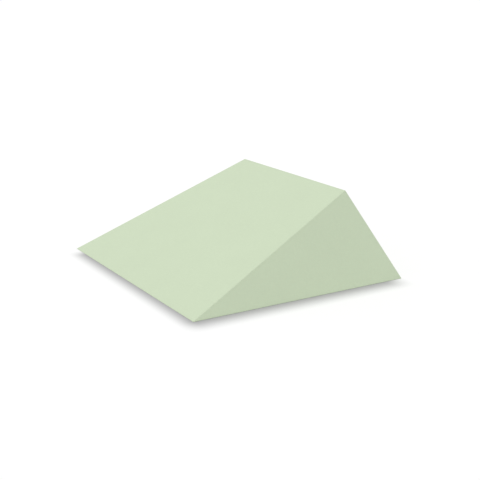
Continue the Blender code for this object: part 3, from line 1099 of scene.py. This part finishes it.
def round_edges(node, material):
    """Keeps a CAD node, with its edges rounded and a better material."""
    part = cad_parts[node]
    part.data.materials.clear()
    part.data.materials.append(material)
    weld = part.modifiers.new("Weld", "WELD")
    weld.merge_threshold = WELD
    bevel = part.modifiers.new("Rounding", "BEVEL")
    bevel.width = STOP_ROUND
    bevel.segments = 2
    bevel.limit_method = "ANGLE"
    bevel.angle_limit = radians(EDGE_ANGLE)
    part.data.shade_smooth()


# -------- other pieces


def grip_dot():
    """Points and faces of one dot: a small flat face, a shoulder, and a root in the cloth."""
    sides = GRIP_SIDES
    rings = (
        (GRIP_TOP * GRIP_RADIUS, 0.0),
        (GRIP_RADIUS, GRIP_HEIGHT * GRIP_SHOULDER),
        (GRIP_RADIUS, GRIP_HEIGHT + GRIP_ROOT),
    )
    points = [(0.0, 0.0, 0.0)]
    for radius, height in rings:
        for k in range(sides):
            angle = 2 * pi * k / sides
            points.append((radius * cos(angle), radius * sin(angle), height))
    *walls, _, top = ring_faces(len(rings), sides)
    faces = [(0, 1 + (k + 1) % sides, 1 + k) for k in range(sides)]
    faces += [tuple(1 + i for i in face) for face in (*walls, top)]
    return np.array(points), faces


def make_grip_dots(material):
    """Printed rubber dots under the base, in staggered rows."""
    low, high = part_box("base_panel")
    dot, faces = grip_dot()
    width = high.x - low.x - 2 * GRIP_MARGIN
    depth = high.y - low.y - 2 * GRIP_MARGIN
    row_pitch = GRIP_PITCH * GRIP_ROW
    parts = []
    for row in range(int(depth / row_pitch) + 1):
        offset = GRIP_PITCH / 2 if row % 2 else 0.0
        for k in range(int((width - offset) / GRIP_PITCH) + 1):
            x = low.x + GRIP_MARGIN + offset + k * GRIP_PITCH
            y = low.y + GRIP_MARGIN + row * row_pitch
            parts.append((dot + (x, y, low.z), faces))
    add_shape("grip_dots", *joined(parts), material, "grip_cloth")


def hull_of(points):
    """The closed flat-faced shape round some points, as a bmesh."""
    shape = bmesh.new()
    for point in points:
        shape.verts.new(point)
    hull = bmesh.ops.convex_hull(shape, input=shape.verts[:])
    spare = [*hull["geom_interior"], *hull["geom_unused"]]
    loose = {part for part in spare if isinstance(part, bmesh.types.BMVert)}
    bmesh.ops.delete(shape, geom=list(loose), context="VERTS")
    flat = radians(FLAT_ANGLE)
    bmesh.ops.dissolve_limit(shape, angle_limit=flat, verts=shape.verts, edges=shape.edges)
    return shape


def refine(shape, longest, rounds):
    """Splits the edges that are longer than they should be."""
    for _ in range(rounds):
        long_edges = [edge for edge in shape.edges if edge.calc_length() > longest]
        bmesh.ops.subdivide_edges(shape, edges=long_edges, cuts=1)
        bmesh.ops.triangulate(shape, faces=shape.faces)


def make_foam_block(node, name, material, seed):
    """A foam block with softened, slightly uneven cut faces."""
    shape = hull_of(node_points(node))
    bmesh.ops.bevel(shape, geom=shape.edges[:], offset=CUT_EDGE, segments=2, profile=0.5, affect="EDGES")
    bmesh.ops.triangulate(shape, faces=shape.faces)
    refine(shape, FOAM_CELL, 4)
    shape.normal_update()
    for vertex in shape.verts:
        bumpy = noise.noise(vertex.co * FOAM_WEAR_SCALE + Vector((seed, 0, 0)))
        vertex.co -= vertex.normal * FOAM_WEAR * (1 + bumpy)
    mesh = mesh_from(shape, name)
    mesh.shade_smooth()
    mesh.set_sharp_from_angle(angle=radians(SHARP_ANGLE))
    block = add_piece(name, mesh, material, "wedge", [node])


def make_liner(place, material):
    """The stretch liner: one skin over the foam, open at a slit behind the zip."""
    points = node_points("inner_liner")
    shape = hull_of(points)
    slit = points[np.abs((points - place.centre) @ place.up) < SLIT_NEAR]
    half = np.abs((slit - place.centre) @ place.along).max()
    for way, reach in ((place.up, SLIT_HALF), (place.along, half)):
        for offset in (-reach, reach):
            everything = shape.verts[:] + shape.edges[:] + shape.faces[:]
            edge = place.centre + offset * way
            bmesh.ops.bisect_plane(shape, geom=everything, plane_co=edge, plane_no=way)
    gone = []
    for face in shape.faces:
        middle = np.array(face.calc_center_median()) - place.centre
        behind_slot = abs(middle @ place.up) < SLIT_HALF and abs(middle @ place.along) < half
        if behind_slot and face.normal.y > 0.5:
            gone.append(face)
    bmesh.ops.delete(shape, geom=gone, context="FACES")
    refine(shape, LINER_CELL, 5)
    area = sum(face.calc_area() for face in shape.faces)
    mesh = mesh_from(shape, "liner")
    store(mesh, "cloth", [v.co for v in mesh.vertices])
    liner = add_piece("liner", mesh, material, "wedge", ["inner_liner"])
    skin = liner.modifiers.new("Thickness", "SOLIDIFY")
    skin.thickness = LINER_THICK
    skin.offset = -1.0
    girth = 2 * place.slot_half
    for node in ("slope_panel", "base_panel", "back_panel_upper", "back_panel_lower"):
        girth += Panel(node).flat()[1]


def make_label(satin, cotton):
    """The blank label: woven satin with slightly curled corners, sewn round its edge."""
    panel = Panel("care_label")
    weights, faces = quad_lattice(*LABEL_LATTICE)
    outer = weights @ panel.outer
    inner = weights @ panel.inner
    spot = panel.on_panel(outer)
    width, height = panel.flat()
    half = np.array([width, height]) / 2
    corner = (np.abs(spot[:, :2] / half) ** LABEL_CURL_POWER).prod(1)
    turns = spot[:, :2] * 2 * pi / np.array(LABEL_WAVES)
    ripple = LABEL_RIPPLE * np.sin(turns[:, 0]) * np.cos(turns[:, 1])
    rise = (LABEL_CURL * corner + ripple)[:, None] * panel.out
    mesh = closed_sheet("label", outer + rise, inner + rise, faces)
    store(mesh, "cloth", np.concatenate([spot, spot]))
    label = add_piece("label", mesh, satin, "wedge", ["care_label"])
    ways = ((-1, -1), (1, -1), (1, 1), (-1, 1))
    axes = (panel.first, panel.second)
    corners = [panel.origin + ((half - LABEL_INSET) * way) @ axes for way in ways]
    made = []
    for start, end in zip(corners, (*corners[1:], corners[0])):
        made += stitch_row(start, end, panel.out, LABEL_STITCH_LENGTH, LABEL_STITCH_PITCH)
    add_shape("label_stitching", *joined(made), cotton, "label_satin")


def side_towards(panel, point):
    """The number of the panel's side nearest a point."""
    distances = [abs((point - corner) @ inward) for corner, _, inward, _, _ in panel.sides()]
    return int(np.argmin(distances))


def main():
    """Builds the whole picture."""
    make_camera()
    make_light()
    make_floor()

    cover = woven("cover_cloth", SAGE)
    grip = woven("grip_cloth", DARK_SAGE, pitch=0.0014, depth=0.0002, contrast=1.6)
    tape_cloth = woven("zip_tape_cloth", ZIP_SAGE, pitch=0.0005, depth=0.00014, contrast=1.5)
    satin = woven("label_satin", LABEL_WHITE, pitch=0.00045, depth=0.00003, sheen=0.3)
    liner_cloth = woven("liner_cloth", LINER_WHITE, pitch=0.0012, depth=0.00015)
    cotton = thread("sewing_thread", SAGE_THREAD)
    nickel = metal("nickel", NICKEL)

    place = ZipPlace()
    grey_foam = foam("core_foam", FOAM_GREY, 0.0012)
    cream_foam = foam("comfort_foam", FOAM_CREAM, 0.0009)
    make_foam_block("foam_core", "core_foam_block", grey_foam, seed=3.0)
    make_foam_block("comfort_layer", "comfort_foam_layer", cream_foam, seed=7.0)
    make_liner(place, liner_cloth)

    make_panel("slope_panel", cover, seed=0.4)
    make_panel("left_end_panel", cover, seed=1.3)
    make_panel("right_end_panel", cover, seed=2.6)
    make_panel("base_panel", grip, seed=3.1, crown=0.0, pucker=0.0, lift=GRIP_HEIGHT)
    for half, seed, crown in (("upper", 4.2, CROWN), ("lower", 5.7, NARROW_CROWN)):
        node = f"back_panel_{half}"
        side = side_towards(Panel(node), place.centre)
        make_panel(node, cover, seed, crown=crown, zip_side=side)
    for side, seed in (("left", 6.1), ("right", 6.9)):
        make_panel(f"zip_end_tab_{side}", cover, seed, crown=0.0)

    make_tapes(place, tape_cloth)
    make_coils(place, plastic("coil_nylon", ZIP_SAGE, 0.38), thread("coil_cord", ZIP_SAGE))
    make_zip_stitching(place, cotton)
    make_label(satin, cotton)
    make_grip_dots(plastic("grip_rubber", RUBBER_SAGE, 0.6))
    make_slider(place, nickel)
    make_pull(place, nickel)
    for node in ("zip_top_stop_upper", "zip_top_stop_lower", "zip_bottom_stop"):
        round_edges(node, nickel)


main()
